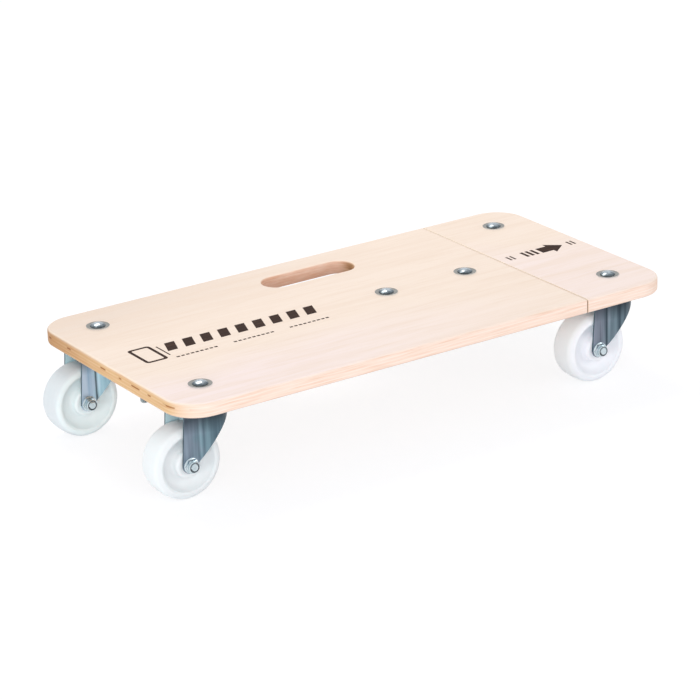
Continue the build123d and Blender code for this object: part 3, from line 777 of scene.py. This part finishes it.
# Plain stamped marks on the deck, in millimetres: lengthwise from the deck's left end on the main deck and
# from the seam on the end board, crosswise from the middle

INK = 0.06 * MM
FRAME_LEFT = 34
FRAME_RIGHT = 59
FRAME_FRONT = -22
FRAME_BACK = 20
FRAME_LINE = 3.5
FRAME_RADIUS = 4
FRAME_INNER_RADIUS = 2
ARROW_MIDDLE = 4.5
ARROW_TAIL = 52
ARROW_NECK = 66
ARROW_TIP = 83
ARROW_SHAFT = 15
ARROW_HEAD = 27
DECK_BARS = {
    "stamped_rule": dict(starts=(64,), middle=-1, count=1, pitch=0, size=(1.6, 28)),
    "stamped_stripes": dict(starts=(77,), middle=5.5, count=9, pitch=20.5, size=(11.5, 21), slant=0.35),
    "stamped_dashes": dict(starts=(68, 134, 200), middle=-24, count=9, pitch=5.4, size=(3.6, 2.6)),
}
END_BARS = {
    "stamped_arrow_tail": dict(
        starts=(33,), middle=ARROW_MIDDLE, count=3, pitch=6.5, size=(3.6, ARROW_SHAFT)
    ),
    "stamped_ticks": dict(starts=(12, 92), middle=ARROW_MIDDLE, count=2, pitch=5, size=(2.2, 11)),
}


def rounded_box(inset, radius, steps=6):
    # Outline of the frame, this far inside its outer edge
    left = FRAME_LEFT + inset + radius
    right = FRAME_RIGHT - inset - radius
    front = FRAME_FRONT + inset + radius
    back = FRAME_BACK - inset - radius
    corners = ((right, front, -90), (right, back, 0), (left, back, 90), (left, front, 180))
    points = []
    for x, y, start in corners:
        for step in range(steps + 1):
            turn = math.radians(start + step * 90 / steps)
            points.append((x + radius * math.cos(turn), y + radius * math.sin(turn)))
    return points


def arrow():
    # Outline of the arrow, up one side and down the other
    side = [(ARROW_TAIL, ARROW_SHAFT / 2), (ARROW_NECK, ARROW_SHAFT / 2), (ARROW_NECK, ARROW_HEAD / 2)]
    front = [(x, ARROW_MIDDLE - half) for x, half in side]
    back = [(x, ARROW_MIDDLE + half) for x, half in reversed(side)]
    return front + [(ARROW_TIP, ARROW_MIDDLE)] + back


def flat_shape(name, outline, hole, start, body, material):
    # A flat mark, or a ring of it round a hole with as many points
    count = len(outline)
    points = [(start.x + x * MM, y * MM, start.z) for x, y in outline + hole]
    faces = [tuple(range(count))]
    if hole:
        faces = [(i, (i + 1) % count, count + (i + 1) % count, count + i) for i in range(count)]
    mesh = bpy.data.meshes.new(name)
    mesh.from_pydata(points, [], faces)
    mesh.materials.append(material)
    piece = bpy.data.objects.new(name, mesh)
    scene.collection.objects.link(piece)
    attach(piece, body)


def stamp_bars(tree, rows, start, body, ink):
    for name, row in rows.items():
        length, width = row["size"]
        grow(
            name, tree, [(start.x + x * MM, row["middle"] * MM, start.z) for x in row["starts"]], body,
            Count=row["count"], Pitch=(row["pitch"] * MM, 0, 0), Size=(length * MM, width * MM, INK),
            Slant=row.get("slant", 0.0), Material=ink,
        )


def stamp_marks(ink):
    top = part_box("main_deck")[1].z + INK / 2
    deck_start = Vector((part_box("main_deck")[0].x, 0, top))
    seam = Vector((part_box("end_board")[0].x, 0, top))
    bars = bar_tree()
    frame_hole = rounded_box(FRAME_LINE, FRAME_INNER_RADIUS)
    flat_shape("stamped_frame", rounded_box(0, FRAME_RADIUS), frame_hole, deck_start, "deck", ink)
    stamp_bars(bars, DECK_BARS, deck_start, "deck", ink)
    flat_shape("stamped_arrow", arrow(), [], seam, "extension", ink)
    stamp_bars(bars, END_BARS, seam, "extension", ink)


# Studio: a pale floor in a white room, and four soft lamps

FLOOR_REACH = 8.0


def seen(tree):
    # One where the camera or a reflection sees the surface, none where it only lights the object
    path = add(tree, "ShaderNodeLightPath").outputs
    mirrored = add(tree, MATH, {0: path["Is Camera Ray"], 1: path["Is Glossy Ray"]}, operation="ADD")
    return add(tree, MATH, {0: mirrored, 1: path["Is Transmission Ray"]}, operation="ADD", use_clamp=True)


def studio_floor():
    # Pale seamless floor: lit like paper, and lifted to white where the camera or a reflection sees it,
    # with a faint shadow left under the object. From below it is clear, so that the underside shows.
    material, tree = start_material("pale_studio_floor")
    shown = seen(tree)
    lift = add(tree, MATH, {0: shown, 1: 0.81}, operation="MULTIPLY")
    tone = add(tree, MIX, {0: shown, 6: linear("#F6F8FB"), 7: linear("#88888C")}, **COLOUR)
    paper = add(tree, "ShaderNodeBsdfDiffuse", {"Color": tone})
    glow = add(tree, "ShaderNodeEmission", {"Strength": lift})
    upper_side = add(tree, "ShaderNodeAddShader", {0: paper, 1: glow})
    lower_side = add(tree, "ShaderNodeBsdfTransparent")
    side = add(tree, "ShaderNodeNewGeometry").outputs["Backfacing"]
    one_sided = add(tree, "ShaderNodeMixShader", {0: side, 1: upper_side, 2: lower_side})
    add(tree, OUTPUT, {0: one_sided})
    return material


def lay_floor():
    corners = [(-1, -1), (1, -1), (1, 1), (-1, 1)]
    mesh = bpy.data.meshes.new("floor")
    mesh.from_pydata([(x * FLOOR_REACH, y * FLOOR_REACH, 0) for x, y in corners], [], [(0, 1, 2, 3)])
    mesh.materials.append(studio_floor())
    floor = bpy.data.objects.new("floor", mesh)
    scene.collection.objects.link(floor)


def white_room():
    world = bpy.data.worlds.new("white_room")
    world.use_nodes = True
    scene.world = world
    tree = world.node_tree
    tree.nodes.clear()
    strength = add(tree, RANGE, {0: seen(tree), 3: 0.68, 4: 1.0})
    sky = add(tree, "ShaderNodeBackground", {"Color": linear("#F9FCFF"), "Strength": strength})
    add(tree, "ShaderNodeOutputWorld", {0: sky})


def softbox(name, place, target, size, power, tint, mirrored=True):
    light = bpy.data.lights.new(name, "AREA")
    light.shape = "RECTANGLE"
    light.size, light.size_y = size
    light.energy = power
    light.color = linear(tint)[:3]
    lamp = bpy.data.objects.new(name, light)
    lamp.location = place
    lamp.rotation_euler = (Vector(target) - Vector(place)).to_track_quat("-Z", "Y").to_euler()
    lamp.visible_camera = False
    lamp.visible_glossy = mirrored
    scene.collection.objects.link(lamp)


def hang_softboxes():
    # Each lamp's place, what it faces, its size in metres, its power in watts and its tint
    deck = (0.0, 0.0, 0.1)
    casters = (0.0, 0.0, 0.05)
    softbox("overhead_softbox", (0.15, 1.1, 2.0), deck, (1.15, 0.9), 15.5, "#FFF9F2")
    softbox("left_softbox", (-1.7, -2.2, 0.8), casters, (1.8, 1.0), 17.0, "#FFFDFB", mirrored=False)
    softbox("low_left_softbox", (-6.0, -3.0, 0.7), casters, (3.4, 1.1), 82.0, "#FFFFFF", mirrored=False)
    softbox("right_softbox", (4.0, -5.0, 1.4), casters, (3.0, 1.6), 59.0, "#FFFDFB")


place_camera()
chosen, by_slot = choose_finishes()
dress(chosen)
finish_fasteners(by_slot["zinc_fastener"])
stamp_marks(stamped_ink())
lay_floor()
white_room()
hang_softboxes()
